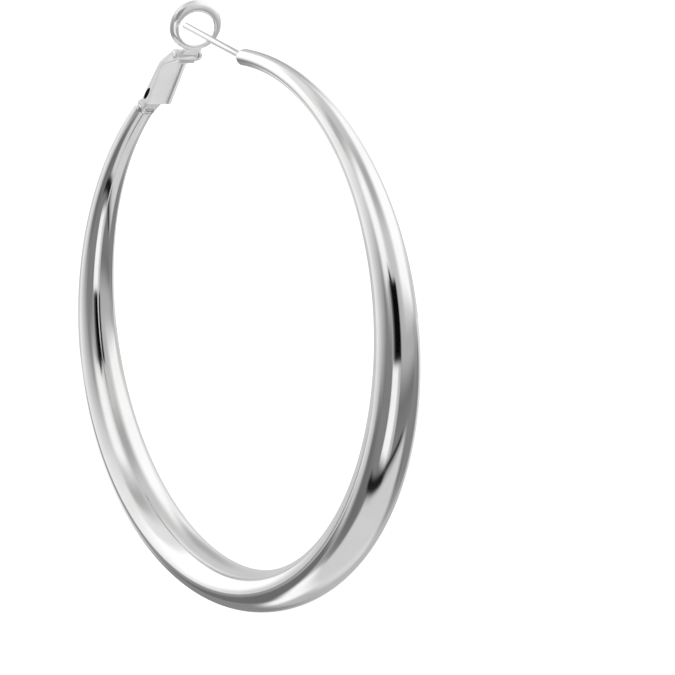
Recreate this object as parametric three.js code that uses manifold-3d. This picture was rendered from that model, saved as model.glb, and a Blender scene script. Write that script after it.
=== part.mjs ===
// A tapered tube hoop earring with an ear post and a hinged ring clip, lying on its side.
// Millimetres. The hoop lies in the X-Y plane and its axis is Z, with +Z up.
// The thickest part of the tube is toward -Y, and the post and the clip close the hoop at +Y.
// Angles round the hoop are measured from the thickest point, positive toward +X.

import * as THREE from 'three';
import { mergeVertices } from 'three/addons/utils/BufferGeometryUtils.js';
import Module from 'manifold-3d';

const wasm = await Module();
wasm.setup();

// Driving dimensions: the tube
const HOOP_RADIUS = 28;
const TUBE_WIDTH = 6;
const TUBE_DEPTH = 4.4;
const END_WIDTH = 2.15;
const END_DEPTH = 1.75;
const TAPER_POWER = 1.5;
const END_ROUNDING = 0.35;
const POST_END_ANGLE = 166.8;
const CLIP_END_ANGLE = 153.2;

// Driving dimensions: the ear post
const POST_DIAMETER = 0.72;
const POST_LENGTH = 11.6;
const POST_RISE = 25;
const POST_TIP_BEVEL = 0.12;

// Driving dimensions: the hinge bracket, a channel open toward the hoop's inside, with a tongue
// that is soldered into the tube
const FOOT_ANGLE = 155.3;
const FOOT_INSET = 0.34;
const BRACKET_RISE = 45;
const BRACKET_WIDTH = 3.08;
const BRACKET_WALL = 0.35;
const CHANNEL_LENGTH = 5.7;
const FOOT_DEPTH = 1.12;
const TOP_DEPTH = 0.57;
const CHANNEL_DEPTH = 0.3;
const BACK_BOW = 0.35;
const CORNER_RADIUS = 0.5;
const EAR_RADIUS = 0.62;
const EAR_ALONG = 2.34;
const EAR_FORWARD = 1.41;
const TONGUE_TURN = 3;
const TONGUE_REACH = 0.7;
const TONGUE_WIDTH = 1.7;
const TONGUE_THICKNESS = 1.1;

// Driving dimensions: the clip lever and its pin
const RING_WIDTH = 6.4;
const RING_HEIGHT = 5.36;
const HOLE_WIDTH = 4.45;
const HOLE_HEIGHT = 3.52;
const HOLE_DROP = 0.33;
const RING_DISH_DEPTH = 0.26;
const RING_THICKNESS = 0.6;
const RING_STANDOFF = 0.7;
const RING_FORWARD = 1.06;
const LEVER_RISE = 70;
const BARREL_RADIUS = 0.56;
const NECK_WIDTH = 1.9;
const NECK_THICKNESS = 0.5;
const HEEL_LENGTH = 0.95;
const HEEL_THICKNESS = 0.4;
const PIN_DIAMETER = 0.5;
const RIVET_RADIUS = 0.42;
const RIVET_HEIGHT = 0.16;

// Clearances
const PIN_CLEARANCE = 0.06;
const SIDE_CLEARANCE = 0.08;

// Fineness of the curved surfaces
const TUBE_SIDES = 28;
const TUBE_STEPS = 96;
const RING_SIDES = 18;
const RING_STEPS = 56;
const ROUND_SIDES = 24;
const ARC_STEPS = 5;

const Z_AXIS = new THREE.Vector3(0, 0, 1);
const radians = THREE.MathUtils.degToRad;

function direction(degrees) {
  // Unit vector in the hoop's plane, measured from +X toward +Y
  const a = radians(degrees);
  return new THREE.Vector3(Math.cos(a), Math.sin(a), 0);
}

function hoopRadial(degrees) {
  // Unit vector from the hoop's centre to the tube at an angle round the hoop
  return direction(degrees - 90);
}

function taperShare(degrees) {
  // 1 at the thickest point, 0 at the end of the longer arm, by a raised cosine
  const turn = Math.min(1, Math.abs(degrees) / POST_END_ANGLE);
  return 0.5 + 0.5 * Math.cos(Math.PI * turn ** TAPER_POWER);
}

function tubeSection(degrees) {
  const share = taperShare(degrees);
  return {
    width: END_WIDTH + (TUBE_WIDTH - END_WIDTH) * share,
    depth: END_DEPTH + (TUBE_DEPTH - END_DEPTH) * share,
  };
}

function toSolid(geometry) {
  // A closed geometry as a solid: shared corners merged, collapsed triangles at the poles dropped
  const bare = geometry.clone();
  bare.deleteAttribute('normal');
  bare.deleteAttribute('uv');
  const merged = mergeVertices(bare, 1e-5);
  const index = merged.index.array;
  const kept = [];
  for (let i = 0; i < index.length; i += 3) {
    const [a, b, c] = [index[i], index[i + 1], index[i + 2]];
    if (a !== b && b !== c && c !== a) kept.push(a, b, c);
  }
  const mesh = new wasm.Mesh({
    numProp: 3,
    vertProperties: new Float32Array(merged.attributes.position.array),
    triVerts: new Uint32Array(kept),
  });
  return new wasm.Manifold(mesh);
}

function toGeometry(solid) {
  const mesh = solid.getMesh();
  const geometry = new THREE.BufferGeometry();
  geometry.setAttribute('position', new THREE.BufferAttribute(mesh.vertProperties, 3));
  geometry.setIndex(new THREE.BufferAttribute(mesh.triVerts, 1));
  geometry.computeVertexNormals();
  return geometry;
}

function roundBar(radius, length, centre, axis, bevel = 0) {
  // A round bar centred on a point, along an axis, with an optional bevel at both ends
  const half = length / 2;
  const profile = [new THREE.Vector2(0, -half)];
  if (bevel > 0) profile.push(new THREE.Vector2(radius - bevel, -half));
  profile.push(new THREE.Vector2(radius, -half + bevel), new THREE.Vector2(radius, half - bevel));
  if (bevel > 0) profile.push(new THREE.Vector2(radius - bevel, half));
  profile.push(new THREE.Vector2(0, half));
  const geometry = new THREE.LatheGeometry(profile, ROUND_SIDES);
  const turn = new THREE.Quaternion().setFromUnitVectors(new THREE.Vector3(0, 1, 0), axis);
  geometry.applyQuaternion(turn);
  geometry.translate(centre.x, centre.y, centre.z);
  return toSolid(geometry);
}

// The tube: a straight round bar with rounded ends, tapered and bent round the hoop
function makeTube() {
  const startAngle = -CLIP_END_ANGLE;
  const turnLength = radians(POST_END_ANGLE + CLIP_END_ANGLE) * HOOP_RADIUS;
  const endRadius = END_DEPTH / 2;
  const profile = [new THREE.Vector2(0, 0)];
  for (let i = 0; i <= ARC_STEPS; i++) {
    const a = (i / ARC_STEPS) * (Math.PI / 2);
    const inset = END_ROUNDING * (1 - Math.sin(a));
    profile.push(new THREE.Vector2(1 - inset / endRadius, END_ROUNDING * (1 - Math.cos(a))));
  }
  for (let i = 1; i < TUBE_STEPS; i++) {
    const along = END_ROUNDING + ((turnLength - 2 * END_ROUNDING) * i) / TUBE_STEPS;
    profile.push(new THREE.Vector2(1, along));
  }
  for (let i = ARC_STEPS; i >= 0; i--) {
    const a = (i / ARC_STEPS) * (Math.PI / 2);
    const inset = END_ROUNDING * (1 - Math.sin(a));
    const along = turnLength - END_ROUNDING * (1 - Math.cos(a));
    profile.push(new THREE.Vector2(1 - inset / endRadius, along));
  }
  profile.push(new THREE.Vector2(0, turnLength));
  const geometry = new THREE.LatheGeometry(profile, TUBE_SIDES);
  const position = geometry.attributes.position;
  for (let i = 0; i < position.count; i++) {
    const degrees = startAngle + THREE.MathUtils.radToDeg(position.getY(i) / HOOP_RADIUS);
    const section = tubeSection(degrees);
    const outward = (position.getZ(i) * section.depth) / 2;
    const sideways = (-position.getX(i) * section.width) / 2;
    const point = hoopRadial(degrees).multiplyScalar(HOOP_RADIUS + outward);
    position.setXYZ(i, point.x, point.y, sideways);
  }
  return toSolid(geometry);
}

// The ear post leaves the middle of the tube's end and rises toward the clip's ring
const postRoot = hoopRadial(POST_END_ANGLE).multiplyScalar(HOOP_RADIUS);
const postAxis = direction(180 - POST_RISE);

function makePost() {
  const buried = END_DEPTH / 2;
  const centre = postRoot.clone().addScaledVector(postAxis, (POST_LENGTH - buried) / 2);
  return roundBar(POST_DIAMETER / 2, POST_LENGTH + buried, centre, postAxis, POST_TIP_BEVEL);
}

// The bracket's own frame: from the back of its foot, along it and into the hoop
const bracketAlong = direction(BRACKET_RISE);
const bracketInward = direction(BRACKET_RISE - 90);
const bracketFoot = hoopRadial(-FOOT_ANGLE).multiplyScalar(HOOP_RADIUS - FOOT_INSET);
const innerWidth = BRACKET_WIDTH - 2 * BRACKET_WALL;

function bracketPoint(along, inward) {
  return bracketFoot
    .clone()
    .addScaledVector(bracketAlong, along)
    .addScaledVector(bracketInward, inward);
}

const earAlong = CHANNEL_LENGTH + EAR_ALONG;
const earInward = FOOT_DEPTH + EAR_FORWARD;
const pivot = bracketPoint(earAlong, earInward);

function bracketPlate(thickness, midHeight, draw) {
  // A plate with an outline drawn in the bracket's own frame
  const flat = new THREE.Shape();
  draw(flat);
  const turned = flat.extractPoints(ARC_STEPS * 2).shape.map((p) => {
    const q = bracketPoint(p.x, p.y);
    return new THREE.Vector2(q.x, q.y);
  });
  const geometry = new THREE.ExtrudeGeometry(new THREE.Shape(turned.reverse()), {
    depth: thickness,
    bevelEnabled: false,
  });
  geometry.translate(0, 0, midHeight - thickness / 2);
  return toSolid(geometry);
}

function drawSide(shape) {
  // The bracket from the side: back, arm, round ear, front edge and rounded foot
  const backTop = FOOT_DEPTH - TOP_DEPTH;
  const armTurn = Math.atan2(EAR_FORWARD + TOP_DEPTH / 2, EAR_ALONG);
  const quarter = Math.PI / 2;
  const footMiddle = FOOT_DEPTH - CORNER_RADIUS;
  shape.moveTo(0, 0);
  shape.quadraticCurveTo(CHANNEL_LENGTH / 2, backTop * BACK_BOW, CHANNEL_LENGTH, backTop);
  shape.absarc(earAlong, earInward, EAR_RADIUS, armTurn - quarter, armTurn + quarter, false);
  shape.lineTo(CHANNEL_LENGTH, FOOT_DEPTH);
  shape.lineTo(CORNER_RADIUS, FOOT_DEPTH);
  shape.absarc(CORNER_RADIUS, footMiddle, CORNER_RADIUS, quarter, 2 * quarter, false);
  shape.closePath();
}

function drawChannelSpace(shape) {
  // What is open between the two walls: the channel above its floor, and all between the arms
  const floorTop = FOOT_DEPTH - CHANNEL_DEPTH;
  const farEnd = earAlong + 2 * EAR_RADIUS;
  const farFront = earInward + 2 * EAR_RADIUS;
  shape.moveTo(-FOOT_DEPTH, floorTop);
  shape.lineTo(CHANNEL_LENGTH, floorTop);
  shape.lineTo(CHANNEL_LENGTH, -FOOT_DEPTH);
  shape.lineTo(farEnd, -FOOT_DEPTH);
  shape.lineTo(farEnd, farFront);
  shape.lineTo(-FOOT_DEPTH, farFront);
  shape.closePath();
}

function makeTongue() {
  // A flat bar from inside the tube's end to inside the bracket's foot
  const inTube = hoopRadial(TONGUE_TURN - CLIP_END_ANGLE).multiplyScalar(HOOP_RADIUS);
  const inFoot = bracketPoint(TONGUE_REACH, FOOT_DEPTH - CHANNEL_DEPTH - TONGUE_THICKNESS / 2);
  const run = inFoot.clone().sub(inTube);
  const geometry = new THREE.BoxGeometry(run.length(), TONGUE_THICKNESS, TONGUE_WIDTH);
  geometry.rotateZ(Math.atan2(run.y, run.x));
  geometry.translate((inTube.x + inFoot.x) / 2, (inTube.y + inFoot.y) / 2, 0);
  return toSolid(geometry);
}

function makeHoop() {
  // The tongue joins the tube and the bracket before the channel is cut
  const bore = roundBar(PIN_DIAMETER / 2 + PIN_CLEARANCE, BRACKET_WIDTH * 2, pivot, Z_AXIS);
  return makeTube()
    .add(makeTongue())
    .add(bracketPlate(BRACKET_WIDTH, 0, drawSide))
    .subtract(bracketPlate(innerWidth, 0, drawChannelSpace))
    .subtract(bore)
    .add(makePost());
}

// The clip lever's own frame: along the ring from the pin, away from the post, and across
const leverAlong = direction(LEVER_RISE);
const leverBack = direction(LEVER_RISE + 90);
const leverFrame = new THREE.Matrix4().makeBasis(leverAlong, leverBack, Z_AXIS);
leverFrame.setPosition(pivot);

function makeRing() {
  // An oval dished band: a lathed ring whose inner and outer rims are drawn out to two ovals
  const section = [];
  for (let i = 0; i <= RING_SIDES; i++) {
    const a = (i / RING_SIDES) * Math.PI * 2;
    section.push(new THREE.Vector2(2 + Math.cos(a), Math.sin(a)));
  }
  const geometry = new THREE.LatheGeometry(section, RING_STEPS);
  const position = geometry.attributes.position;
  const centreAlong = RING_STANDOFF + RING_HEIGHT / 2;
  for (let i = 0; i < position.count; i++) {
    const radius = Math.hypot(position.getX(i), position.getZ(i));
    const share = (radius - 1) / 2;
    const along = position.getZ(i) / radius;
    const across = position.getX(i) / radius;
    const halfHeight = THREE.MathUtils.lerp(HOLE_HEIGHT, RING_HEIGHT, share) / 2;
    const halfWidth = THREE.MathUtils.lerp(HOLE_WIDTH, RING_WIDTH, share) / 2;
    position.setXYZ(
      i,
      centreAlong - HOLE_DROP * (1 - share) + halfHeight * along,
      -RING_FORWARD - RING_DISH_DEPTH * (1 - share) + (position.getY(i) * RING_THICKNESS) / 2,
      -halfWidth * across,
    );
  }
  geometry.applyMatrix4(leverFrame);
  return toSolid(geometry);
}

function leverBar(from, to, thickness) {
  // A flat bar of the lever between two points of its frame, as wide as the neck
  const span = to.clone().sub(from);
  const geometry = new THREE.BoxGeometry(span.length(), thickness, NECK_WIDTH);
  geometry.rotateZ(span.angle());
  geometry.translate((from.x + to.x) / 2, (from.y + to.y) / 2, 0);
  geometry.applyMatrix4(leverFrame);
  return toSolid(geometry);
}

function makeLever() {
  const pin = new THREE.Vector2(0, 0);
  const bandMiddle = (RING_HEIGHT - HOLE_HEIGHT) / 4 - HOLE_DROP / 2;
  const ringFoot = new THREE.Vector2(RING_STANDOFF + bandMiddle, -RING_FORWARD - RING_DISH_DEPTH / 2);
  const heelEnd = new THREE.Vector2(-HEEL_LENGTH, 0);
  const barrelLength = innerWidth - 2 * SIDE_CLEARANCE;
  const bore = roundBar(PIN_DIAMETER / 2 + PIN_CLEARANCE, BRACKET_WIDTH * 2, pivot, Z_AXIS);
  return makeRing()
    .add(roundBar(BARREL_RADIUS, barrelLength, pivot, Z_AXIS))
    .add(leverBar(pin, ringFoot, NECK_THICKNESS))
    .add(leverBar(pin, heelEnd, HEEL_THICKNESS))
    .subtract(bore);
}

// The pin: a round wire through both ears, with a low rivet head outside each
function makePin() {
  const shankLength = BRACKET_WIDTH + 2 * SIDE_CLEARANCE;
  let pin = roundBar(PIN_DIAMETER / 2, shankLength + RIVET_HEIGHT, pivot, Z_AXIS);
  for (const side of [-1, 1]) {
    const height = side * (shankLength + RIVET_HEIGHT) / 2;
    const centre = pivot.clone().addScaledVector(Z_AXIS, height);
    pin = pin.add(roundBar(RIVET_RADIUS, RIVET_HEIGHT, centre, Z_AXIS, RIVET_HEIGHT / 2.5));
  }
  return pin;
}

const silver = new THREE.MeshStandardMaterial({ color: '#d9dadb', roughness: 0.12, metalness: 1 });
const clipSilver = new THREE.MeshStandardMaterial({
  color: '#d4d5d6',
  roughness: 0.18,
  metalness: 1,
});

const earring = new THREE.Group();

function addPiece(name, solid, material) {
  const mesh = new THREE.Mesh(toGeometry(solid), material);
  mesh.name = name;
  earring.add(mesh);
}

addPiece('hoop', makeHoop(), silver);
addPiece('clip_lever', makeLever(), clipSilver);
addPiece('hinge_pin', makePin(), clipSilver);

// The origin is under the middle of the earring, on the surface that it lies on
const box = new THREE.Box3().setFromObject(earring);
const middle = box.getCenter(new THREE.Vector3());
earring.position.set(-middle.x, -middle.y, -box.min.z);

const model = new THREE.Group();
model.add(earring);

export default model;
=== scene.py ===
# %% [markdown]
# # A tube hoop earring with a click-top clip
#
# The earring is a hollow silver tube, bent round to a hoop and drawn down toward both ends.
# A straight ear post is soldered into one end and a hinge bracket to the other. A small oval
# ring turns on a pin in the bracket and closes over the post.
#
# The sizes and places are those of the CAD model. The cells below make the same forms with
# finer surfaces, because polished metal shows each facet of a mesh, and then light them.

# %% Load the frame
import math

import bmesh
import bpy
from mathutils import Matrix, Vector


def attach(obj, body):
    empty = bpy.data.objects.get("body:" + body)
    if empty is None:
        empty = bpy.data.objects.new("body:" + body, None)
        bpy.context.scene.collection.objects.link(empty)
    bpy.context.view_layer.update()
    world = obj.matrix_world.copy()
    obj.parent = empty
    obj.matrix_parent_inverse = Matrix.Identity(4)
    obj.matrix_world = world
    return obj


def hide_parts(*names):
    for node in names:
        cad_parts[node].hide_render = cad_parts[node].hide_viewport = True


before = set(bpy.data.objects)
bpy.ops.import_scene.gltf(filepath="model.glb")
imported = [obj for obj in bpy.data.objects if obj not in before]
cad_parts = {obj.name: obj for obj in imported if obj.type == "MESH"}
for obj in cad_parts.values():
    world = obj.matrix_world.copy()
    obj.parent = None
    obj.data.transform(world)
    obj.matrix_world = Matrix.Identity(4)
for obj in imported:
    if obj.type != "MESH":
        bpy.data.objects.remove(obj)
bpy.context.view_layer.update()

# %% [markdown]
# ## Units, colours and nodes
#
# Sizes are written in millimetres, as a jeweller gives them, and one factor makes them metres.
# Colours are written as sRGB hex, which is how they are seen, but shaders mix light in linear
# values, so one function converts them. Every node tree below is built by one small function
# that adds a node, sets it and links it.

# %% Units, colours and nodes
MM = 0.001


def linear(hex_colour):
    """An sRGB hex colour as linear red, green, blue and alpha."""
    channels = [int(hex_colour[i:i + 2], 16) / 255 for i in (1, 3, 5)]
    return [c / 12.92 if c <= 0.04045 else ((c + 0.055) / 1.055) ** 2.4 for c in channels] + [1.0]


def add_node(tree, kind, inputs=None, **settings):
    """Adds a node. An input is a plain value, a socket, or a node whose first output is used."""
    made = tree.nodes.new(kind)
    for name, value in settings.items():
        setattr(made, name, value)
    for key, value in (inputs or {}).items():
        if isinstance(value, bpy.types.Node):
            value = value.outputs[0]
        if isinstance(value, bpy.types.NodeSocket):
            tree.links.new(value, made.inputs[key])
        else:
            made.inputs[key].default_value = value
    return made


MATH = "ShaderNodeMath"
print("linear value of mid grey #808080:", round(linear("#808080")[0], 4))

# %% [markdown]
# ## Where the earring's parts meet
#
# The hoop's circle, the end of the tube that carries the post, the foot of the bracket and
# the pin are the places that everything else is measured from. Angles round the hoop start
# at its thickest point, at the front, and are positive toward the post.

# %% The hoop's circle and the bracket's frame
HOOP_RADIUS = 28.0
CENTRE = Vector((0.0015, -2.0788, 3.2))
POST_END_ANGLE = 166.8
CLIP_END_ANGLE = 152.5
TONGUE_ANGLE = 150.2
FOOT_ANGLE = 155.3
FOOT_INSET = 0.34
BRACKET_TURN = 45
BRACKET_WIDTH = 3.08
BRACKET_WALL = 0.35
CHANNEL_LENGTH = 5.7
FOOT_DEPTH = 1.12
TOP_DEPTH = 0.57
CHANNEL_DEPTH = 0.3
ARM_RUN = 2.34
ARM_RISE = 1.41
EAR_RADIUS = 0.62
EAR_ALONG = CHANNEL_LENGTH + ARM_RUN
EAR_INWARD = FOOT_DEPTH + ARM_RISE
INNER_WIDTH = BRACKET_WIDTH - 2 * BRACKET_WALL
UP = Vector((0, 0, 1))


def direction(degrees):
    """Unit vector in the hoop's plane, from +X toward +Y."""
    turn = math.radians(degrees)
    return Vector((math.cos(turn), math.sin(turn), 0))


def on_hoop(degrees, radius=HOOP_RADIUS):
    """The point at this angle round the hoop, counted from its thickest point."""
    return CENTRE + direction(degrees - 90) * radius


bracket_along = direction(BRACKET_TURN)
bracket_inward = direction(BRACKET_TURN - 90)
bracket_foot = on_hoop(-FOOT_ANGLE, HOOP_RADIUS - FOOT_INSET)


def bracket_point(along, inward, across=0.0):
    """A point given along the bracket, toward the hoop's middle and across its walls."""
    return bracket_foot + bracket_along * along + bracket_inward * inward + UP * across


pin_centre = bracket_point(EAR_ALONG, EAR_INWARD)
print("pin centre in mm:", [round(value, 3) for value in pin_centre])

# %% [markdown]
# ## The camera
#
# The hoop stands upright in the picture and lies on its side here, so the camera is turned
# with it: it keeps the same angle to the hoop and ends up 36 degrees above the floor. A long
# lens from a quarter of a metre away gives the slight narrowing of the far side.

# %% The camera
# The focal length is in the picture's own pixels, and the place in mm from the hoop's centre.
IMAGE_SIDE = 675
FOCAL_PIXELS = 2385
SENSOR_WIDTH = 36.0
CAMERA_PLACE = Vector((208.51, -0.024, 138.18))
camera_data = bpy.data.cameras.new("camera")
camera = bpy.data.objects.new("camera", camera_data)
bpy.context.scene.collection.objects.link(camera)
camera_right = Vector((0.58597, -0.09102, -0.80521))
camera_up = Vector((0.04619, 0.99581, -0.07895))
camera_back = camera_right.cross(camera_up)
camera_turn = Matrix((camera_right, camera_up, camera_back)).transposed().to_4x4()
camera.matrix_world = Matrix.Translation((CENTRE + CAMERA_PLACE) * MM) @ camera_turn
camera_data.sensor_width = SENSOR_WIDTH
camera_data.lens = SENSOR_WIDTH * FOCAL_PIXELS / IMAGE_SIDE
camera_data.clip_start = 0.01
camera_data.clip_end = 20.0
bpy.context.scene.camera = camera
above_floor = math.degrees(math.asin(camera_back.normalized().z))
print("lens in mm:", round(camera_data.lens, 1), "degrees above the floor:", round(above_floor, 1))

# %% [markdown]
# ## From points to pieces
#
# A lathed shape is a row of radii turned about a line, and one helper closes it at both ends
# with a single point. A ring closes on itself both ways, so it needs only a rule for its
# points. Another helper applies a piece's modifiers and leaves a plain mesh, so that each
# finished piece is only points and faces in their final place.

# %% Mesh helpers
def make_object(name, points, faces, smooth=True):
    """An object from points in millimetres."""
    mesh = bpy.data.meshes.new(name)
    mesh.from_pydata([tuple(point * MM) for point in points], [], faces)
    mesh.validate()
    for polygon in mesh.polygons:
        polygon.use_smooth = smooth
    made = bpy.data.objects.new(name, mesh)
    bpy.context.scene.collection.objects.link(made)
    return made


def mend_faces(mesh):
    """Merges doubled points and turns every face outward."""
    work = bmesh.new()
    work.from_mesh(mesh)
    bmesh.ops.remove_doubles(work, verts=work.verts, dist=1e-7)
    bmesh.ops.dissolve_degenerate(work, edges=work.edges, dist=1e-8)
    bmesh.ops.recalc_face_normals(work, faces=work.faces)
    work.to_mesh(mesh)
    work.free()


def bake_modifiers(piece, sharp_from=35):
    """Replaces a piece's mesh by what its modifiers make of it."""
    seen = piece.evaluated_get(bpy.context.evaluated_depsgraph_get())
    mesh = bpy.data.meshes.new_from_object(seen)
    piece.modifiers.clear()
    old, piece.data = piece.data, mesh
    mesh.name = piece.name
    bpy.data.meshes.remove(old)
    mend_faces(mesh)
    for polygon in mesh.polygons:
        polygon.use_smooth = True
    mesh.set_sharp_from_angle(angle=math.radians(sharp_from))
    return piece


def combine(piece, other, operation):
    """Joins to a piece, or cuts from it, another object, which is then removed."""
    step = piece.modifiers.new("combine", "BOOLEAN")
    step.object = other
    step.operation = operation
    step.solver = "EXACT"
    bake_modifiers(piece)
    mesh = other.data
    bpy.data.objects.remove(other)
    bpy.data.meshes.remove(mesh)


def turned(name, profile, start, axis, sides=64):
    """A lathed piece. The profile is a list of (distance along the axis, radius)."""
    side = axis.orthogonal().normalized()
    other = axis.cross(side).normalized()
    points, faces = [start + axis * profile[0][0]], []
    for along, radius in profile[1:-1]:
        for k in range(sides):
            turn = 2 * math.pi * k / sides
            outward = side * math.cos(turn) + other * math.sin(turn)
            points.append(start + axis * along + outward * radius)
    points.append(start + axis * profile[-1][0])
    last = len(points) - 1
    for k in range(sides):
        n = (k + 1) % sides
        faces.append((0, 1 + n, 1 + k))
        for ring in range(len(profile) - 3):
            low = 1 + ring * sides
            faces.append((low + k, low + n, low + sides + n, low + sides + k))
        top = 1 + (len(profile) - 3) * sides
        faces.append((top + k, top + n, last))
    return make_object(name, points, faces)


def closed_ring(name, steps, sides, point_at):
    """A ring. Its points follow from a turn round the ring and a swing round its section."""
    points, faces = [], []
    for step in range(steps):
        for side in range(sides):
            points.append(point_at(2 * math.pi * step / steps, 2 * math.pi * side / sides))
    for step in range(steps):
        here, there = step * sides, ((step + 1) % steps) * sides
        for side in range(sides):
            after = (side + 1) % sides
            faces.append((here + side, there + side, there + after, here + after))
    made = make_object(name, points, faces)
    mend_faces(made.data)
    return made


def plate(name, outline, thickness, middle=0.0):
    """A flat plate, its outline drawn in the bracket's frame and its middle this high."""
    count = len(outline)
    points = [bracket_point(a, i, middle - thickness / 2) for a, i in outline]
    points += [bracket_point(a, i, middle + thickness / 2) for a, i in outline]
    faces = [tuple(range(count)), tuple(reversed(range(count, 2 * count)))]
    for k in range(count):
        n = (k + 1) % count
        faces.append((k, k + count, n + count, n))
    made = make_object(name, points, faces, smooth=False)
    mend_faces(made.data)
    return made


BORE_RADIUS = 0.31
BORE_REACH = 4


def cut_bore(piece):
    """Cuts the bore that the hinge pin goes through."""
    profile = [(0, 0), (0, BORE_RADIUS), (2 * BORE_REACH, BORE_RADIUS), (2 * BORE_REACH, 0)]
    combine(piece, turned("bore", profile, pin_centre - UP * BORE_REACH, UP), "DIFFERENCE")


print("helpers ready, bore in mm:", 2 * BORE_RADIUS)

# %% [markdown]
# ## The tube
#
# The tube follows a rule: each cross-section is an oval, and its width and depth fall from
# the front of the hoop to both ends by the same smooth curve. That is a case for Geometry
# Nodes. The tree starts from a plain cylinder, reads each point's place on it, and moves the
# point to its angle round the hoop and its place on the oval there. The oval is turned by
# three degrees about the tube's own line, as in a tube that twists a little while it is bent.
# Steps crowd together at the ends, where the rim is rounded off.

# %% The tube's node tree
# The depth is 0.02 mm under the CAD model's, because that one's facets cut its corners.
END_WIDTH = 2.15
END_DEPTH = 1.75
tube_sizes = {
    "Hoop Radius": HOOP_RADIUS * MM,
    "Tube Width": 6.0 * MM,
    "Tube Depth": 4.38 * MM,
    "End Width": END_WIDTH * MM,
    "End Depth": END_DEPTH * MM,
    "End Rounding": 0.35 * MM,
    "Taper Power": 1.5,
    "Post End Angle": math.radians(POST_END_ANGLE),
    "Clip End Angle": math.radians(CLIP_END_ANGLE),
    "Section Turn": math.radians(3.0),
}
tube_tree = bpy.data.node_groups.new("tapered_hoop_tube", "GeometryNodeTree")
socket_kinds = {size_name: "NodeSocketFloat" for size_name in tube_sizes}
socket_kinds["Sides"] = "NodeSocketInt"
socket_kinds["Steps"] = "NodeSocketInt"
socket_kinds["Metal"] = "NodeSocketMaterial"
tube_sockets = tube_tree.interface
for socket_name, kind in socket_kinds.items():
    tube_sockets.new_socket(name=socket_name, in_out="INPUT", socket_type=kind)
tube_sockets.new_socket(name="Geometry", in_out="OUTPUT", socket_type="NodeSocketGeometry")
given = add_node(tube_tree, "NodeGroupInput").outputs

bar = add_node(tube_tree, "GeometryNodeMeshCylinder",
               {"Vertices": given["Sides"], "Side Segments": given["Steps"],
                "Radius": 1.0, "Depth": 1.0}, fill_type="TRIANGLE_FAN")
position = add_node(tube_tree, "GeometryNodeInputPosition")
place = add_node(tube_tree, "ShaderNodeSeparateXYZ", {0: position})
print("tube inputs:", len(socket_kinds))

# %% The angle round the hoop, the taper and the rounded rims
# Half a cosine wave from 0 to 1 makes the steps short at both ends.
share = add_node(tube_tree, MATH, {0: place.outputs["Z"], 1: 0.5}, operation="ADD")
half_wave = add_node(tube_tree, MATH, {0: share, 1: math.pi}, operation="MULTIPLY")
half_wave = add_node(tube_tree, MATH, {0: half_wave}, operation="COSINE")
eased = add_node(tube_tree, MATH, {0: half_wave, 1: -0.5, 2: 0.5}, operation="MULTIPLY_ADD")
full_turn = add_node(tube_tree, MATH, {0: given["Post End Angle"], 1: given["Clip End Angle"]},
                     operation="ADD")
from_clip = add_node(tube_tree, MATH, {0: eased, 1: full_turn}, operation="MULTIPLY")
angle = add_node(tube_tree, MATH, {0: from_clip, 1: given["Clip End Angle"]},
                 operation="SUBTRACT")

# The taper is a raised cosine of the angle's share, which a power pushes toward the ends.
from_front = add_node(tube_tree, MATH, {0: angle}, operation="ABSOLUTE")
turn_share = add_node(tube_tree, MATH, {0: from_front, 1: given["Post End Angle"]},
                      operation="DIVIDE")
powered = add_node(tube_tree, MATH, {0: turn_share, 1: given["Taper Power"]}, operation="POWER")
taper_wave = add_node(tube_tree, MATH, {0: powered, 1: math.pi}, operation="MULTIPLY")
taper_wave = add_node(tube_tree, MATH, {0: taper_wave}, operation="COSINE")
taper = add_node(tube_tree, MATH, {0: taper_wave, 1: 0.5, 2: 0.5}, operation="MULTIPLY_ADD")

# Within the rounding's radius of either end, the section shrinks along a quarter circle.
to_post = add_node(tube_tree, MATH, {0: full_turn, 1: from_clip}, operation="SUBTRACT")
nearer = add_node(tube_tree, MATH, {0: from_clip, 1: to_post}, operation="MINIMUM")
to_rim = add_node(tube_tree, MATH, {0: nearer, 1: given["Hoop Radius"]}, operation="MULTIPLY")
short_of = add_node(tube_tree, MATH, {0: given["End Rounding"], 1: to_rim}, operation="SUBTRACT")
short_of = add_node(tube_tree, MATH, {0: short_of, 1: 0.0}, operation="MAXIMUM")
squared = add_node(tube_tree, MATH, {0: given["End Rounding"], 1: 2.0}, operation="POWER")
left_over = add_node(tube_tree, MATH, {0: short_of, 1: short_of}, operation="MULTIPLY")
left_over = add_node(tube_tree, MATH, {0: squared, 1: left_over}, operation="SUBTRACT")
left_over = add_node(tube_tree, MATH, {0: left_over, 1: 0.0}, operation="MAXIMUM")
left_over = add_node(tube_tree, MATH, {0: left_over}, operation="SQRT")
inset = add_node(tube_tree, MATH, {0: given["End Rounding"], 1: left_over}, operation="SUBTRACT")

half_sizes = {}
for size_name in ("Width", "Depth"):
    end_size = given["End " + size_name]
    growth = add_node(tube_tree, MATH, {0: given["Tube " + size_name], 1: end_size},
                      operation="SUBTRACT")
    size = add_node(tube_tree, MATH, {0: growth, 1: taper, 2: end_size}, operation="MULTIPLY_ADD")
    half = add_node(tube_tree, MATH, {0: size, 1: 0.5}, operation="MULTIPLY")
    half_sizes[size_name] = add_node(tube_tree, MATH, {0: half, 1: inset}, operation="SUBTRACT")
print("nodes so far:", len(tube_tree.nodes))

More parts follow.
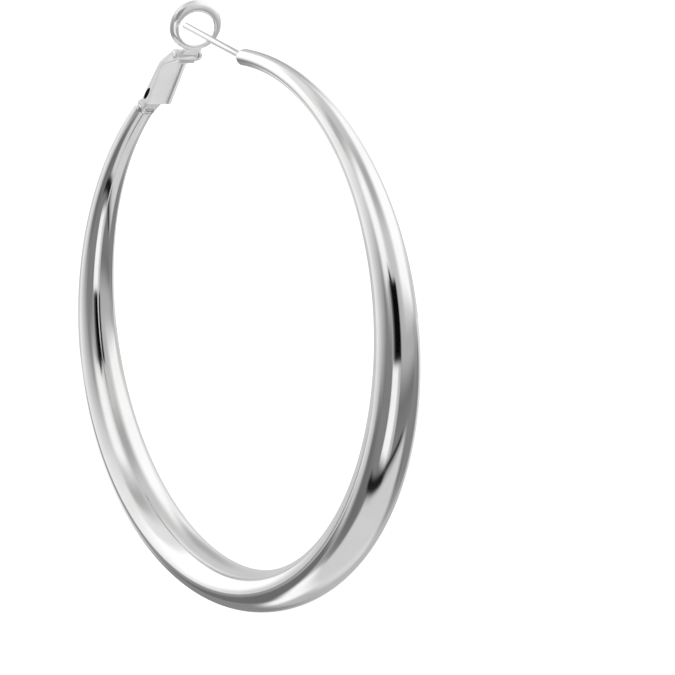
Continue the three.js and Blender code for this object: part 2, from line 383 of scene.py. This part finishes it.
# %% The points take their places, and the tube becomes a piece
# The oval is drawn first, and then turned a little about the tube's own line.
out = add_node(tube_tree, MATH, {0: place.outputs["X"], 1: half_sizes["Depth"]},
               operation="MULTIPLY")
rise = add_node(tube_tree, MATH, {0: place.outputs["Y"], 1: half_sizes["Width"]},
                operation="MULTIPLY")
oval = add_node(tube_tree, "ShaderNodeCombineXYZ", {"X": out, "Y": rise})
oval = add_node(tube_tree, "ShaderNodeVectorRotate",
                {"Vector": oval, "Angle": given["Section Turn"]}, rotation_type="Z_AXIS")
oval = add_node(tube_tree, "ShaderNodeSeparateXYZ", {0: oval})
radius = add_node(tube_tree, MATH, {0: oval.outputs["X"], 1: given["Hoop Radius"]},
                  operation="ADD")
level = add_node(tube_tree, MATH, {0: oval.outputs["Y"], 1: -1.0}, operation="MULTIPLY")
sine = add_node(tube_tree, MATH, {0: angle}, operation="SINE")
cosine = add_node(tube_tree, MATH, {0: angle}, operation="COSINE")
toward_x = add_node(tube_tree, MATH, {0: sine, 1: radius}, operation="MULTIPLY")
toward_y = add_node(tube_tree, MATH, {0: cosine, 1: radius}, operation="MULTIPLY")
toward_y = add_node(tube_tree, MATH, {0: toward_y, 1: -1.0}, operation="MULTIPLY")
bent = add_node(tube_tree, "ShaderNodeCombineXYZ", {"X": toward_x, "Y": toward_y, "Z": level})
shifted = add_node(tube_tree, "ShaderNodeVectorMath", {0: bent, 1: tuple(CENTRE * MM)},
                   operation="ADD")
moved = add_node(tube_tree, "GeometryNodeSetPosition", {"Geometry": bar, "Position": shifted})
smooth = add_node(tube_tree, "GeometryNodeSetShadeSmooth", {"Geometry": moved})
real = add_node(tube_tree, "GeometryNodeRealizeInstances", {"Geometry": smooth})
dressed = add_node(tube_tree, "GeometryNodeSetMaterial",
                   {"Geometry": real, "Material": given["Metal"]})
add_node(tube_tree, "NodeGroupOutput", {"Geometry": dressed})
print("nodes in the tube's tree:", len(tube_tree.nodes))

# %% [markdown]
# ## The metal
#
# The earring is sterling silver. The tube and post are drawn, soldered and then buffed. The
# bracket is folded from sheet, and the little ring and its pin are stamped and turned. These
# small parts are pickled white and tumbled, which leaves a thin frosted skin on them.
# Silver is the whitest metal, so it has hardly any colour of its own and shows the room.
# What tells the eye that it is metal and not glass is a slightly uneven polish: faint waves
# from the buffing wheel about 2 mm long, hairlines some hundredths of a millimetre wide,
# which are drawn here at a tenth of a millimetre so that they can show, and a slightly
# duller film in places. The waves and hairlines are far too low to change an outline, so
# they are left to the shader.

# %% The silver finishes
PATCH_SIZE = 6
WAVE_LENGTH = 2
HAIRLINE_WIDTH = 0.1
HAIRLINE_HEIGHT = 0.001
HAIRLINE_STRETCH = 0.12
FROST_UNDER_FILM = 0.7


def silver_finish(name, bright, film, polish, dull, wave_height, hairline, frost=0.0):
    """Silver with patches of a duller film, buffing waves, hairlines and maybe a frosted skin.

    The film takes the colour from bright to film and the roughness from polish to dull.
    """
    metal = bpy.data.materials.new(name)
    metal.use_nodes = True
    tree = metal.node_tree
    tree.nodes.clear()
    here = add_node(tree, "ShaderNodeTexCoord").outputs["Object"]
    patches = add_node(tree, "ShaderNodeTexNoise",
                       {"Vector": here, "Scale": 1 / (PATCH_SIZE * MM), "Detail": 3.0})
    waves = add_node(tree, "ShaderNodeTexNoise",
                     {"Vector": here, "Scale": 1 / (WAVE_LENGTH * MM), "Detail": 1.0})
    stretched = add_node(tree, "ShaderNodeMapping",
                         {"Vector": here, "Scale": (1.0, 1.0, HAIRLINE_STRETCH)})
    lines = add_node(tree, "ShaderNodeTexNoise",
                     {"Vector": stretched, "Scale": 1 / (HAIRLINE_WIDTH * MM), "Detail": 2.0})
    cover = add_node(tree, "ShaderNodeMapRange",
                     {"Value": patches, "From Min": 0.35, "From Max": 0.75})
    colour = add_node(tree, "ShaderNodeMix", {0: cover, 6: linear(bright), 7: linear(film)},
                      data_type="RGBA")
    rough = add_node(tree, "ShaderNodeMapRange",
                     {"Value": patches, "From Min": 0.3, "From Max": 0.75,
                      "To Min": polish, "To Max": dull})
    grain = add_node(tree, MATH, {0: lines, 1: hairline, 2: rough}, operation="MULTIPLY_ADD")
    wavy = add_node(tree, "ShaderNodeBump",
                    {"Height": waves, "Strength": 1.0, "Distance": wave_height * MM})
    scratched = add_node(tree, "ShaderNodeBump",
                         {"Height": lines, "Strength": 0.15,
                          "Distance": HAIRLINE_HEIGHT * MM, "Normal": wavy})
    # Frost scatters light as paper does. It is thinner where the film is.
    bare = 1.0
    if frost > 0:
        bare = add_node(tree, "ShaderNodeMapRange",
                        {"Value": patches, "From Min": 0.3, "From Max": 0.75,
                         "To Min": 1 - frost, "To Max": 1 - frost * FROST_UNDER_FILM})
    shader = add_node(tree, "ShaderNodeBsdfPrincipled",
                      {"Base Color": colour.outputs[2], "Metallic": bare,
                       "Roughness": grain, "Normal": scratched})
    add_node(tree, "ShaderNodeOutputMaterial", {"Surface": shader})
    return metal


# Buffed on a wheel: the tube, the post and the solder bead.
polished_silver = silver_finish("polished_sterling_silver", "#f4f4f4", "#ebebea", polish=0.045,
                                dull=0.085, wave_height=0.002, hairline=0.02)
# Folded sheet, pickled and brushed: the bracket.
satin_silver = silver_finish("satin_sterling_silver", "#fafafa", "#f2f2f1", polish=0.09,
                             dull=0.14, wave_height=0.003, hairline=0.03, frost=0.48)
# Pickled and tumbled with steel shot: the clip and the pin.
tumbled_silver = silver_finish("tumbled_sterling_silver", "#fcfcfc", "#f4f4f3", polish=0.06,
                               dull=0.1, wave_height=0.004, hairline=0.03, frost=0.44)
# Burnt flux that stayed in a hollow after soldering: the dimples.
# Painted shade: a near-black finish for the dimples' hollows, standing for the shade that falls in
# them.
blackened_silver = silver_finish("painted_dimple_shade_silver", "#141414", "#080808", polish=0.4,
                                 dull=0.5, wave_height=0.003, hairline=0.03)
finishes = (polished_silver, satin_silver, tumbled_silver, blackened_silver)
print("finishes:", [finish.name for finish in finishes])

# %% The hoop's tube
tube = make_object("hoop_tube", [Vector((0, 0, 0))], [])
grown = tube.modifiers.new("tube", "NODES")
grown.node_group = tube_tree
sockets = {item.name: item.identifier for item in tube_sockets.items_tree
           if item.in_out == "INPUT"}
for size_name, value in tube_sizes.items():
    grown[sockets[size_name]] = value
grown[sockets["Sides"]] = 112
grown[sockets["Steps"]] = 420
grown[sockets["Metal"]] = polished_silver
bake_modifiers(tube)
tube_box = [round(length / MM, 2) for length in tube.dimensions]
print("tube faces:", len(tube.data.polygons), "box in mm:", tube_box)

# %% [markdown]
# ## The hinge bracket
#
# On the real earring this is a strip of sheet folded to a shallow channel. Its two walls run
# on past the floor as arms, and end in round ears that carry the pin. Seen from the side
# it is one outline, so it is made as one thick plate with that outline. The space between
# the walls is then cut away. A flat tongue under the foot is soldered into the tube's end.
# A narrow bevel stands for the polished edge, because a perfectly sharp edge catches no
# light. Each wall has a small oval dimple near the foot, coloured near black as painted
# shade in its hollow.

# %% The bracket's outline and the space between its walls
CORNER_RADIUS = 0.5
BACK_BOW = 0.35


def arc(centre, radius, from_degrees, to_degrees, steps):
    """Points on a circle, from one angle to another."""
    step = (to_degrees - from_degrees) / steps
    turns = [math.radians(from_degrees + step * k) for k in range(steps + 1)]
    return [(centre[0] + radius * math.cos(t), centre[1] + radius * math.sin(t)) for t in turns]


# The back is a slightly bowed line from the foot to the top of the channel.
BACK_STEPS = 12
back_top = FOOT_DEPTH - TOP_DEPTH
side_outline = []
for k in range(BACK_STEPS + 1):
    t = k / BACK_STEPS
    bow = 2 * t * (1 - t) * back_top * BACK_BOW + t * t * back_top
    side_outline.append((CHANNEL_LENGTH * t, bow))
arm_rise = EAR_INWARD - FOOT_DEPTH + TOP_DEPTH / 2
arm_turn = math.degrees(math.atan2(arm_rise, EAR_ALONG - CHANNEL_LENGTH))
side_outline += arc((EAR_ALONG, EAR_INWARD), EAR_RADIUS, arm_turn - 90, arm_turn + 90, steps=24)
side_outline.append((CHANNEL_LENGTH, FOOT_DEPTH))
corner = (CORNER_RADIUS, FOOT_DEPTH - CORNER_RADIUS)
side_outline += arc(corner, CORNER_RADIUS, 90, 180, steps=10)

floor_top = FOOT_DEPTH - CHANNEL_DEPTH
far_end, far_front = EAR_ALONG + 2 * EAR_RADIUS, EAR_INWARD + 2 * EAR_RADIUS
channel_outline = [
    (-FOOT_DEPTH, floor_top),
    (CHANNEL_LENGTH, floor_top),
    (CHANNEL_LENGTH, -FOOT_DEPTH),
    (far_end, -FOOT_DEPTH),
    (far_end, far_front),
    (-FOOT_DEPTH, far_front),
]
print("side outline points:", len(side_outline))

# %% The bracket and its tongue in the tube
TONGUE_REACH = 0.7
TONGUE_WIDTH = 1.7
TONGUE_THICKNESS = 1.1
BRACKET_ROUNDING = 0.06
tongue_start = on_hoop(-TONGUE_ANGLE) - bracket_foot
tongue_start = Vector((tongue_start.dot(bracket_along), tongue_start.dot(bracket_inward)))
tongue_end = Vector((TONGUE_REACH, floor_top - TONGUE_THICKNESS / 2))
tongue_run = (tongue_end - tongue_start).normalized()
tongue_side = Vector((-tongue_run.y, tongue_run.x)) * TONGUE_THICKNESS / 2
tongue_outline = [tuple(tongue_start - tongue_side), tuple(tongue_end - tongue_side),
                  tuple(tongue_end + tongue_side), tuple(tongue_start + tongue_side)]
bracket = plate("hinge_bracket", side_outline, BRACKET_WIDTH)
combine(bracket, plate("tongue", tongue_outline, TONGUE_WIDTH), "UNION")
combine(bracket, plate("channel_space", channel_outline, INNER_WIDTH), "DIFFERENCE")
cut_bore(bracket)
rounded = bracket.modifiers.new("polished edges", "BEVEL")
rounded.width = BRACKET_ROUNDING * MM
rounded.segments = 3
rounded.limit_method = "ANGLE"
rounded.angle_limit = math.radians(40)
bake_modifiers(bracket, sharp_from=50)
bracket.data.materials.append(satin_silver)
# The second finish is painted shade, for the dimples' hollows.
bracket.data.materials.append(blackened_silver)
print("bracket faces:", len(bracket.data.polygons))

# %% The dimples in its walls, coloured with painted shade
DIMPLE_PLACE = Vector((1.3, 0.47))
DIMPLE_LENGTH = 1.7
DIMPLE_HEIGHT = 0.56
DIMPLE_DEPTH = 0.1
DIMPLE_TURN = math.radians(10)
DIMPLE_STEPS = 32
DIMPLE_MARGIN = 0.01
dimple_along = Vector((math.cos(DIMPLE_TURN), math.sin(DIMPLE_TURN)))
dimple_across = Vector((-dimple_along.y, dimple_along.x))
dimple_outline = []
for k in range(DIMPLE_STEPS):
    turn = 2 * math.pi * k / DIMPLE_STEPS
    dimple_outline.append(tuple(DIMPLE_PLACE + dimple_along * DIMPLE_LENGTH / 2 * math.cos(turn)
                                + dimple_across * DIMPLE_HEIGHT / 2 * math.sin(turn)))
for wall in (-1, 1):
    dimple = plate("dimple_space", dimple_outline, 2 * DIMPLE_DEPTH, wall * BRACKET_WIDTH / 2)
    combine(bracket, dimple, "DIFFERENCE")

# A face gets the painted shade if it lies within the dimple's oval and below the wall's surface.
blackened = 0
for polygon in bracket.data.polygons:
    spot = polygon.center / MM - bracket_foot
    flat = Vector((spot.dot(bracket_along), spot.dot(bracket_inward))) - DIMPLE_PLACE
    flat = Vector((flat.dot(dimple_along) / DIMPLE_LENGTH, flat.dot(dimple_across) / DIMPLE_HEIGHT))
    sunk = BRACKET_WIDTH / 2 - abs(spot.z)
    inside = flat.length * 2 < 1 + DIMPLE_MARGIN
    if inside and DIMPLE_MARGIN < sunk < DIMPLE_DEPTH + DIMPLE_MARGIN:
        polygon.material_index = 1
        blackened += 1
print("blackened faces:", blackened)

# %% The solder bead at the tube's end
# Where the tongue enters, solder closes the tube's end with a rounded bead round its rim. The
# middle of the bead's section lies half its radius inside the rim.
BEAD_RADIUS = 0.27
BEAD_ANGLE = 151.4
BEAD_SINK = 0.5
bead_centre = on_hoop(-BEAD_ANGLE)
bead_out = direction(-BEAD_ANGLE - 90)
bead_ahead = direction(-BEAD_ANGLE)


def bead_point(turn, swing):
    """The turn goes round the tube's rim, and the swing round the bead itself."""
    beyond = BEAD_RADIUS * math.cos(swing) - BEAD_RADIUS * BEAD_SINK
    out = bead_out * (END_DEPTH / 2 + beyond) * math.cos(turn)
    across = UP * (END_WIDTH / 2 + beyond) * math.sin(turn)
    ahead = bead_ahead * BEAD_RADIUS * math.sin(swing)
    return bead_centre + out + across + ahead


bead = closed_ring("solder_bead", steps=96, sides=24, point_at=bead_point)
bead.data.materials.append(polished_silver)
print("bead faces:", len(bead.data.polygons))

# %% [markdown]
# ## The ear post
#
# A straight hard wire 0.72 mm thick with a rounded tip, so that it slides through the ear. It
# is soldered into the tube's end, and the solder leaves a small cove round its root.

# %% The ear post
# The cove rises a little less than it is long, and starts just inside the tube's end.
POST_RADIUS = 0.36
POST_LENGTH = 11.6
POST_LEAN = 25
POST_IN_TUBE = 0.8
COVE_LENGTH = 0.28
COVE_RISE = 0.8
COVE_SINK = 0.02
TIP_LENGTH = 0.3
TIP_FLAT = 0.35
CURVE_STEPS = 8
post_profile = [(-POST_IN_TUBE, 0), (-POST_IN_TUBE, POST_RADIUS)]
quarter = [k / CURVE_STEPS * math.pi / 2 for k in range(CURVE_STEPS + 1)]
for t in quarter:
    post_profile.append((COVE_LENGTH * math.sin(t) - COVE_SINK,
                         POST_RADIUS + COVE_LENGTH * (1 - math.sin(t)) * COVE_RISE))
for t in quarter:
    post_profile.append((POST_LENGTH - TIP_LENGTH * (1 - math.sin(t)),
                         POST_RADIUS * (TIP_FLAT + (1 - TIP_FLAT) * math.cos(t))))
post_profile.append((POST_LENGTH, 0))
post_axis = direction(180 - POST_LEAN)
post = turned("ear_post", post_profile, on_hoop(POST_END_ANGLE), post_axis, sides=48)
bake_modifiers(post, sharp_from=60)
post.data.materials.append(polished_silver)
print("post faces:", len(post.data.polygons))

# %% [markdown]
# ## The clip
#
# The clip is an oval ring with a barrel at its foot that turns on the pin, and a short heel
# below the barrel that the spring action works on. The ring isn't a plain torus: its hole is
# an oval of its own, set a little low and a little toward the post, so that the band between
# the two ovals is dished. Turning a small circle about the ring's axis and then drawing its
# inner and outer rims out to the two ovals gives that.

# %% The clip's ring
RING_STANDOFF = 0.7
RING_HEIGHT = 5.34
RING_WIDTH = 6.4
HOLE_HEIGHT = 3.52
HOLE_WIDTH = 4.45
HOLE_DROP = 0.33
RING_FORWARD = 1.06
RING_DISH_DEPTH = 0.26
RING_THICKNESS = 0.6
LEVER_TURN = 70
lever_along = direction(LEVER_TURN)
lever_back = direction(LEVER_TURN + 90)


def lever_point(along, back, across):
    """A point given from the pin along the clip, toward its back and across it."""
    return pin_centre + lever_along * along + lever_back * back + UP * across


def ring_point(turn, swing):
    """The swing goes from the ring's outer rim, a share of 1, to the rim of its hole, 0."""
    rim_share = 0.5 + 0.5 * math.cos(swing)
    hole_share = 1 - rim_share
    half_height = (HOLE_HEIGHT + (RING_HEIGHT - HOLE_HEIGHT) * rim_share) / 2
    half_width = (HOLE_WIDTH + (RING_WIDTH - HOLE_WIDTH) * rim_share) / 2
    middle = RING_STANDOFF + RING_HEIGHT / 2 - HOLE_DROP * hole_share
    dish = -RING_FORWARD - RING_DISH_DEPTH * hole_share
    return lever_point(middle + half_height * math.cos(turn),
                       dish + math.sin(swing) * RING_THICKNESS / 2,
                       half_width * math.sin(turn))


clip = closed_ring("clip_ring", steps=192, sides=48, point_at=ring_point)
print("ring faces:", len(clip.data.polygons))

# %% The clip's barrel, neck and heel
BARREL_RADIUS = 0.56
BARREL_GAP = 0.08
BARREL_HALF = INNER_WIDTH / 2 - BARREL_GAP
BARREL_EDGE = 0.08
BARREL_CORNER = 0.03
NECK_WIDTH = 1.9
NECK_THICKNESS = 0.5
HEEL_LENGTH = 0.95
HEEL_THICKNESS = 0.4
LEVER_ROUNDING = 0.09


def lever_bar(name, end, thickness):
    """A flat bar, as wide as the neck, from the pin to a point of the clip's frame."""
    start, end = Vector((0, 0)), Vector(end)
    run = (end - start).normalized()
    across = Vector((-run.y, run.x)) * thickness / 2
    half = NECK_WIDTH / 2
    points = []
    for spot in (start, end):
        for side, level in ((-1, -half), (1, -half), (1, half), (-1, half)):
            corner = spot + across * side
            points.append(lever_point(corner.x, corner.y, level))
    faces = [(0, 1, 2, 3), (7, 6, 5, 4), (0, 4, 5, 1), (1, 5, 6, 2), (2, 6, 7, 3), (3, 7, 4, 0)]
    made = make_object(name, points, faces, smooth=False)
    mend_faces(made.data)
    rounded = made.modifiers.new("polished edges", "BEVEL")
    rounded.width = LEVER_ROUNDING * MM
    rounded.segments = 3
    return bake_modifiers(made, sharp_from=50)


barrel_end = [(0, 0), (0, BARREL_RADIUS - BARREL_EDGE),
              (BARREL_CORNER, BARREL_RADIUS - BARREL_CORNER), (BARREL_EDGE, BARREL_RADIUS)]
other_end = [(2 * BARREL_HALF - along, radius) for along, radius in reversed(barrel_end)]
barrel = turned("barrel", barrel_end + other_end, pin_centre - UP * BARREL_HALF, UP)
band_middle = RING_STANDOFF + (RING_HEIGHT - HOLE_HEIGHT) / 4 - HOLE_DROP / 2
ring_foot = (band_middle, -RING_FORWARD - RING_DISH_DEPTH / 2)
combine(clip, barrel, "UNION")
combine(clip, lever_bar("neck", ring_foot, NECK_THICKNESS), "UNION")
combine(clip, lever_bar("heel", (-HEEL_LENGTH, 0), HEEL_THICKNESS), "UNION")
cut_bore(clip)
clip.data.materials.clear()
clip.data.materials.append(tumbled_silver)
print("clip faces:", len(clip.data.polygons))

# %% [markdown]
# ## The hinge pin
#
# A wire 0.5 mm thick through both ears and the barrel. Each end is hammered over to a low
# domed rivet head, which a lathed profile gives in one go. The edge of a head is a third of
# its height, and a power under 1 makes its dome fuller than a ball's.

# %% The hinge pin
PIN_RADIUS = 0.25
RIVET_RADIUS = 0.42
RIVET_HEIGHT = 0.16
RIVET_EDGE = 0.35
RIVET_BULGE = 0.7
HEAD_STEPS = 6
head_start = BRACKET_WIDTH / 2
half_profile = [(head_start, PIN_RADIUS), (head_start, RIVET_RADIUS)]
for k in range(HEAD_STEPS):
    t = k / HEAD_STEPS * math.pi / 2
    half_profile.append((head_start + RIVET_HEIGHT * (RIVET_EDGE + (1 - RIVET_EDGE) * math.sin(t)),
                         RIVET_RADIUS * math.cos(t) ** RIVET_BULGE))
half_profile.append((head_start + RIVET_HEIGHT, 0))
pin_profile = [(-along, radius) for along, radius in reversed(half_profile)] + half_profile
hinge_pin = turned("hinge_pin_rivet", pin_profile, pin_centre, UP, sides=48)
bake_modifiers(hinge_pin, sharp_from=40)
hinge_pin.data.materials.append(tumbled_silver)
print("pin faces:", len(hinge_pin.data.polygons))

# %% [markdown]
# ## Pieces and bodies
#
# The tube, post, bracket and bead are one soldered body, and the pin is riveted to it. The
# clip is the one body that turns. Each CAD solid that a new piece stands for is hidden, and
# the piece rides on its body.

# %% Pieces ride on their bodies
for piece in (tube, post, bracket, bead):
    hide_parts("hoop")
    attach(piece, "hoop")
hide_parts("hinge_pin")
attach(hinge_pin, "hoop")
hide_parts("clip_lever")
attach(clip, "clip")
print("pieces:", [piece.name for piece in (tube, post, bracket, bead, hinge_pin, clip)])

# %% [markdown]
# ## The table and the light
#
# Polished metal has no look of its own: it shows what stands around it. A jewellery
# photographer sets white cards and soft boxes round the piece and leaves dark gaps between
# them, and those gaps draw the black lines that make silver look like silver. Here the world
# itself is that set. Each card is a patch of the sky with soft edges, given by its azimuth,
# its elevation, a lean and a brightness, and later cards cover earlier ones.
#
# The table is matt white paper on a board. It lights itself a little, as a sheet lit from
# below does, so that it stays pale under the earring. The metal doesn't show it: the cards
# below the horizon take its place there.

# %% The table
TABLE_HALF = 3.0
table_corners = [(-TABLE_HALF, -TABLE_HALF, 0), (TABLE_HALF, -TABLE_HALF, 0),
                 (TABLE_HALF, TABLE_HALF, 0), (-TABLE_HALF, TABLE_HALF, 0)]
table_mesh = bpy.data.meshes.new("table")
table_mesh.from_pydata(table_corners, [], [(0, 1, 2, 3)])
table = bpy.data.objects.new("table", table_mesh)
bpy.context.scene.collection.objects.link(table)
paper = bpy.data.materials.new("white_paper")
paper.use_nodes = True
paper_shader = paper.node_tree.nodes["Principled BSDF"]
paper_shader.inputs["Base Color"].default_value = linear("#f2f2f2")
paper_shader.inputs["Roughness"].default_value = 0.9
paper_shader.inputs["Emission Color"].default_value = linear("#ffffff")
paper_shader.inputs["Emission Strength"].default_value = 0.72
table_mesh.materials.append(paper)
table.visible_glossy = False
print("table side in metres:", 2 * TABLE_HALF)

# %% The cards round the earring
# name, azimuth from and to, elevation from and to, edge softness in azimuth and in elevation,
# lean, brightness as sRGB hex. The lean is how many degrees of azimuth the card moves over for
# each degree of elevation.
cards = [
    ("upper left", -124, -60, 36, 76, 36, 22, 0.0, "#6a6a6a"),
    ("upper middle", -70, 16, 26, 60, 44, 14, 0.0, "#7c7c7c"),
    ("low wall, left", -132, -44, -88, -58, 44, 10, 0.0, "#7c7c7c"),
    ("low wall, back", -190, -146, -88, -43, 10, 20, 0.0, "#d4d4d4"),
    ("low wall, right end", 146, 190, -88, -46, 24, 20, 0.0, "#c8c8c8"),
    ("low front", -66, -46, -64, -10, 34, 12, 0.0, "#828282"),
    ("low middle", -24, 6, -68, -8, 20, 14, 0.0, "#a8a8a8"),
    ("front fill", 4, 100, -30, 42, 34, 20, 0.0, "#c0c0c0"),
    ("front sill", -54, -8, -9, 1, 10, 4, 0.0, "#b8b8b8"),
    ("right, below", 84, 190, -44, -6, 20, 16, 0.0, "#c4c4c4"),
    ("low right", 4, 112, -78, -29, 30, 20, 0.0, "#f6f6f6"),
    ("ground, left", -136, -84, -46, 26, 12, 14, 0.0, "#d0d0d0"),
    ("ground", -110, -61, -46, 27, 12, 10, -0.3, "#c8c8c8"),
    ("ground, bright edge", -138, -116, -8, 32, 14, 14, 0.0, "#f4f4f4"),
    ("back floor", -172, -120, -56, -6, 14, 14, 0.0, "#b0b0b0"),
    ("back flag, far", -190, -160, 16, 38, 10, 12, 0.0, "#8c8c8c"),
    ("back flag", -166, -138, -30, 12, 10, 14, 0.0, "#828282"),
    ("back flag, top", -167, -133, 10, 49, 12, 10, 0.0, "#686868"),
    ("right white", 16, 64, 8, 40, 18, 20, 0.0, "#f0f0f0"),
    ("far right white", 112, 158, 4, 44, 22, 22, 0.0, "#ffffff"),
    ("far end", 166, 190, -46, 34, 16, 16, 0.0, "#c4c4c4"),
    ("grey patch", 38, 64, -22, 1, 22, 14, 0.0, "#a2a2a2"),
    ("low grey", 112, 150, -42, -26, 26, 14, 0.0, "#a8a8a8"),
    ("narrow grey", 75, 87, 8, 40, 10, 14, 0.2, "#aaaaaa"),
    ("right grey", 94, 112, -8, 40, 14, 14, 0.0, "#dcdcdc"),
    ("soft box", -54, -16, 0, 24, 9, 6, 0.0, "#f0f0f0"),
    ("dark gap, low", -54, -50, -36, -4, 4, 8, -0.26, "#1c1c1c"),
    ("dark gap", -69, -61, -7, 42, 5, 12, -0.26, "#121212"),
    ("camera, top", -16, 14, 20, 29, 6, 8, 0.0, "#9a9a9a"),
    ("camera, middle", -16, 15, 12, 21, 4, 6, 0.0, "#505050"),
    ("camera, corner", 12, 18, 6, 16, 5, 5, 0.45, "#101010"),
    ("camera", -16, 14, -10, 15, 4, 6, 0.0, "#080808"),
]
world = bpy.data.worlds.new("studio")
bpy.context.scene.world = world
world.use_nodes = True
sky = world.node_tree
sky.nodes.clear()
looking = add_node(sky, "ShaderNodeTexCoord").outputs["Generated"]
toward = add_node(sky, "ShaderNodeSeparateXYZ", {0: looking})
azimuth = add_node(sky, MATH, {0: toward.outputs["Y"], 1: toward.outputs["X"]},
                   operation="ARCTAN2")
azimuth = add_node(sky, MATH, {0: azimuth}, operation="DEGREES")
elevation = add_node(sky, MATH, {0: toward.outputs["Z"]}, operation="ARCSINE")
elevation = add_node(sky, MATH, {0: elevation}, operation="DEGREES")
print("cards:", len(cards))

# %% Cards laid over each other
# Before any card, the room brightens toward an azimuth of 135 degrees.
ROOM_AZIMUTH = 135
ROOM_CONTRAST = 0.58
ROOM_MIDDLE = 0.46
ROOM_DARKEST = 0.16
toward_bright = add_node(sky, "ShaderNodeVectorMath",
                         {0: looking, 1: tuple(direction(ROOM_AZIMUTH))}, operation="DOT_PRODUCT")
side_light = add_node(sky, MATH, {0: toward_bright.outputs["Value"], 1: ROOM_CONTRAST,
                                  2: ROOM_MIDDLE}, operation="MULTIPLY_ADD")
side_light = add_node(sky, MATH, {0: side_light, 1: ROOM_DARKEST}, operation="MAXIMUM")
light = add_node(sky, "ShaderNodeCombineColor",
                 {0: side_light, 1: side_light, 2: side_light}).outputs[0]

# Four soft steps, one for each side of the card, are multiplied to its mask.
for card_name, left, right, low, high, soft_across, soft_up, lean, grey in cards:
    middle = (low + high) / 2
    leaned = add_node(sky, MATH, {0: elevation, 1: -lean, 2: lean * middle},
                      operation="MULTIPLY_ADD")
    across = add_node(sky, MATH, {0: azimuth, 1: leaned}, operation="ADD")
    wide, tall = soft_across / 2, soft_up / 2
    steps = []
    for value, outside, inside in ((across, left - wide, left + wide),
                                   (across, right + wide, right - wide),
                                   (elevation, low - tall, low + tall),
                                   (elevation, high + tall, high - tall)):
        steps.append(add_node(sky, "ShaderNodeMapRange",
                              {"Value": value, "From Min": outside, "From Max": inside},
                              interpolation_type="SMOOTHSTEP"))
    mask = add_node(sky, MATH, {0: steps[0], 1: steps[1]}, operation="MULTIPLY")
    band = add_node(sky, MATH, {0: steps[2], 1: steps[3]}, operation="MULTIPLY")
    mask = add_node(sky, MATH, {0: mask, 1: band}, operation="MULTIPLY")
    card = add_node(sky, "ShaderNodeMix", {0: mask, 6: light, 7: linear(grey)}, data_type="RGBA")
    card.label = card_name
    light = card.outputs[2]
print("nodes in the sky:", len(sky.nodes))

# %% What the camera sees past the table is plain white
# Silver gives back about 0.88 of the light that falls on it here. The strength makes up for
# that and a little more, so that a card's hex value is close to what is seen in the metal.
seen = add_node(sky, "ShaderNodeBackground", {"Color": light, "Strength": 1.18})
plain = add_node(sky, "ShaderNodeBackground", {"Color": linear("#ffffff"), "Strength": 1.0})
ray = add_node(sky, "ShaderNodeLightPath").outputs["Is Camera Ray"]
both = add_node(sky, "ShaderNodeMixShader", {0: ray, 1: seen, 2: plain})
add_node(sky, "ShaderNodeOutputWorld", {"Surface": both})
bpy.context.scene.view_settings.view_transform = "Standard"
print("view transform:", bpy.context.scene.view_settings.view_transform)
